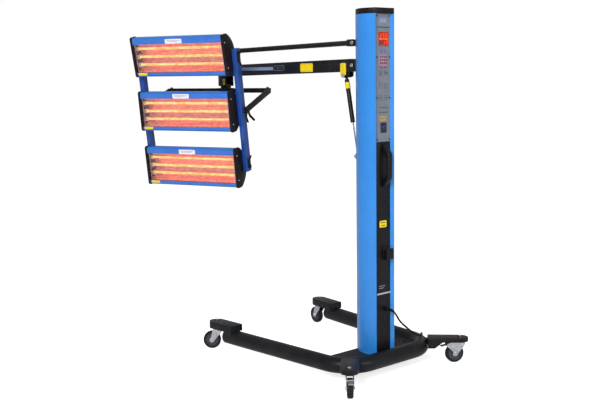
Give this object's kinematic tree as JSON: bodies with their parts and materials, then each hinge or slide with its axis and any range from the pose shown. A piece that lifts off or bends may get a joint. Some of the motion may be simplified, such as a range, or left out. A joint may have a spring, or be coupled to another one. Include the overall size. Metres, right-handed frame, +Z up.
{
  "type": "short-wave infrared dryer",
  "caption": "Rolling stand with a tall column and a balanced parallel arm that carries a swivelling, tilting rack of infrared lamp cassettes for drying paint.",
  "frame": {"origin": "on the floor, under the axis of the column", "axes": "+Z up; -X towards the lamps, +X towards the operator's control panel; the side with the lit cassettes at rest is -Y"},
  "size_m": [1.7192, 1.0594, 1.701],
  "materials": {
    "frame_black": "satin",
    "zinc": "polished",
    "blue": "satin",
    "lamp_blue": "satin",
    "plastic_black": "satin",
    "panel_grey": "satin",
    "display": "gloss",
    "screw": "satin",
    "aluminium": "brushed",
    "rocker": "gloss",
    "board": "gloss",
    "yellow": "satin",
    "strut_black": "gloss",
    "chrome": "polished",
    "cord": "matte",
    "emitter": "polished",
    "mesh": "polished",
    "tyre": "matte"
  },
  "bodies": {
    "stand": {"base_tube": "frame_black", "base_plate": "frame_black", "rear_arms": "frame_black", "leg_tongues": "frame_black", "caster_stems": "zinc", "column": "blue", "column_cap": "plastic_black", "control_panel": "panel_grey", "display_window": "display", "panel_screws": "screw", "rear_cover": "plastic_black", "lower_cover": "plastic_black", "trim_strip": "aluminium", "pull_handle": "plastic_black", "cable_hook": "plastic_black", "switch_frame": "plastic_black", "cable_gland": "plastic_black", "control_board": "board", "power_unit": "plastic_black", "arm_bracket": "frame_black", "strut_foot": "frame_black", "cord": "cord", "cord_coil": "cord", "plug": "plastic_black"},
    "main_switch": {"switch_rocker": "rocker"},
    "arm": {"beam": "frame_black", "strut_bracket": "yellow"},
    "link": {"upper_rod": "frame_black"},
    "strut_outer": {"strut_cylinder": "strut_black"},
    "strut_inner": {"strut_rod": "chrome"},
    "head": {"head_box": "frame_black"},
    "yoke": {"yoke": "frame_black"},
    "lamp_frame": {"frame_rails": "blue"},
    "clamp_near": {"yoke_lever_near": "plastic_black"},
    "clamp_far": {"yoke_lever_far": "plastic_black"},
    "cassette_top": {"housing_top": "lamp_blue", "caps_top": "plastic_black", "emitter_top": "emitter", "grille_top": "mesh"},
    "clamp_top": {"lever_top": "plastic_black"},
    "cassette_middle": {"housing_middle": "lamp_blue", "caps_middle": "plastic_black", "emitter_middle": "emitter", "grille_middle": "mesh"},
    "clamp_middle": {"lever_middle": "plastic_black"},
    "cassette_bottom": {"housing_bottom": "lamp_blue", "caps_bottom": "plastic_black", "emitter_bottom": "emitter", "grille_bottom": "mesh"},
    "clamp_bottom": {"lever_bottom": "plastic_black"},
    "caster_rear_near": {"fork_rear_near": "zinc"},
    "roller_rear_near": {"wheel_rear_near": "tyre"},
    "caster_rear_far": {"fork_rear_far": "zinc"},
    "roller_rear_far": {"wheel_rear_far": "tyre"},
    "caster_front_near": {"fork_front_near": "zinc"},
    "roller_front_near": {"wheel_front_near": "tyre"},
    "caster_front_far": {"fork_front_far": "zinc"},
    "roller_front_far": {"wheel_front_far": "tyre"},
    "brake_near": {"pedal_near": "zinc"},
    "brake_far": {"pedal_far": "zinc"}
  },
  "joints": [
    {"name": "main_switch_rock", "type": "hinge", "parent": "stand", "child": "main_switch", "pos_m": [0.06, 0, 1.157], "axis": [0, 1, 0], "range_deg": [-16, 0]},
    {"name": "arm_lift", "type": "hinge", "parent": "stand", "child": "arm", "pos_m": [-0.118, 0, 1.445], "axis": [0, 1, 0], "range_deg": [-22, 12]},
    {"name": "link_swing", "type": "hinge", "parent": "stand", "child": "link", "pos_m": [-0.118, 0, 1.55], "axis": [0, 1, 0], "range_deg": [-22, 12]},
    {"name": "head_level", "type": "hinge", "parent": "arm", "child": "head", "pos_m": [-1.14, 0, 1.4268], "axis": [0, 1, 0], "range_deg": [-12, 22]},
    {"name": "strut_foot_swing", "type": "hinge", "parent": "stand", "child": "strut_inner", "pos_m": [-0.104, 0, 1.015], "axis": [0, 1, 0], "range_deg": [-3, 3]},
    {"name": "strut_top_swing", "type": "hinge", "parent": "arm", "child": "strut_outer", "pos_m": [-0.178, 0, 1.396], "axis": [0, 1, 0], "range_deg": [-14, 25]},
    {"name": "head_swivel", "type": "hinge", "parent": "head", "child": "yoke", "pos_m": [-1.15, 0, 1.34], "axis": [0, 0, 1], "range_deg": [-229, 3]},
    {"name": "panel_tilt", "type": "hinge", "parent": "yoke", "child": "lamp_frame", "pos_m": [-1.01715, -0.31297, 1.224], "axis": [0.9205, 0.3907, 0], "range_deg": [-17, 75]},
    {"name": "clamp_near_turn", "type": "hinge", "parent": "lamp_frame", "child": "clamp_near", "pos_m": [-0.72351, -0.18833, 1.224], "axis": [0.9205, 0.3907, 0], "range_deg": [-30, 10]},
    {"name": "clamp_far_turn", "type": "hinge", "parent": "lamp_frame", "child": "clamp_far", "pos_m": [-1.31079, -0.43761, 1.224], "axis": [0.9205, 0.3907, 0], "range_deg": [-60, 60]},
    {"name": "cassette_top_tilt", "type": "hinge", "parent": "lamp_frame", "child": "cassette_top", "pos_m": [-0.99924, -0.35516, 1.51339], "axis": [0.9205, 0.3907, 0], "range_deg": [-25, 25]},
    {"name": "clamp_top_turn", "type": "hinge", "parent": "cassette_top", "child": "clamp_top", "pos_m": [-0.71867, -0.23607, 1.51339], "axis": [0.9205, 0.3907, 0], "range_deg": [-60, 60]},
    {"name": "cassette_middle_tilt", "type": "hinge", "parent": "lamp_frame", "child": "cassette_middle", "pos_m": [-1.01715, -0.31297, 1.224], "axis": [0.9205, 0.3907, 0], "range_deg": [-25, 25]},
    {"name": "clamp_middle_turn", "type": "hinge", "parent": "cassette_middle", "child": "clamp_middle", "pos_m": [-0.73658, -0.19388, 1.224], "axis": [0.9205, 0.3907, 0], "range_deg": [-10, 40]},
    {"name": "cassette_bottom_tilt", "type": "hinge", "parent": "lamp_frame", "child": "cassette_bottom", "pos_m": [-1.03506, -0.27078, 0.93461], "axis": [0.9205, 0.3907, 0], "range_deg": [-25, 25]},
    {"name": "clamp_bottom_turn", "type": "hinge", "parent": "cassette_bottom", "child": "clamp_bottom", "pos_m": [-0.75449, -0.15168, 0.93461], "axis": [0.9205, 0.3907, 0], "range_deg": [-60, 60]},
    {"name": "swivel_rear_near", "type": "hinge", "parent": "stand", "child": "caster_rear_near", "pos_m": [0.22, -0.372, 0.1], "axis": [0, 0, 1], "continuous": true},
    {"name": "roll_rear_near", "type": "hinge", "parent": "caster_rear_near", "child": "roller_rear_near", "pos_m": [0.24145, -0.39, 0.045], "axis": [0.6428, 0.766, 0], "continuous": true},
    {"name": "brake_near_press", "type": "hinge", "parent": "caster_rear_near", "child": "brake_near", "pos_m": [0.26903, -0.41314, 0.09], "axis": [0.6428, 0.766, 0], "range_deg": [0, 12]},
    {"name": "swivel_rear_far", "type": "hinge", "parent": "stand", "child": "caster_rear_far", "pos_m": [0.22, 0.372, 0.1], "axis": [0, 0, 1], "continuous": true},
    {"name": "roll_rear_far", "type": "hinge", "parent": "caster_rear_far", "child": "roller_rear_far", "pos_m": [0.20642, 0.34751, 0.045], "axis": [0.8746, -0.4848, 0], "continuous": true},
    {"name": "brake_far_press", "type": "hinge", "parent": "caster_rear_far", "child": "brake_far", "pos_m": [0.18897, 0.31602, 0.09], "axis": [0.8746, -0.4848, 0], "range_deg": [0, 12]},
    {"name": "swivel_front_near", "type": "hinge", "parent": "stand", "child": "caster_front_near", "pos_m": [-0.789, -0.356, 0.1], "axis": [0, 0, 1], "continuous": true},
    {"name": "roll_front_near", "type": "hinge", "parent": "caster_front_near", "child": "roller_front_near", "pos_m": [-0.80737, -0.37713, 0.045], "axis": [0.7547, -0.6561, 0], "continuous": true},
    {"name": "swivel_front_far", "type": "hinge", "parent": "stand", "child": "caster_front_far", "pos_m": [-0.789, 0.356, 0.1], "axis": [0, 0, 1], "continuous": true},
    {"name": "roll_front_far", "type": "hinge", "parent": "caster_front_far", "child": "roller_front_far", "pos_m": [-0.81685, 0.35893, 0.045], "axis": [-0.1045, -0.9945, 0], "continuous": true}
  ],
  "couplings": [
    {"joint": "link_swing", "follows": "arm_lift", "ratio": 1},
    {"joint": "head_level", "follows": "arm_lift", "ratio": -1},
    {"joint": "strut_foot_swing", "follows": "arm_lift", "ratio": -0.11},
    {"joint": "strut_top_swing", "follows": "arm_lift", "ratio": -1.11}
  ]
}
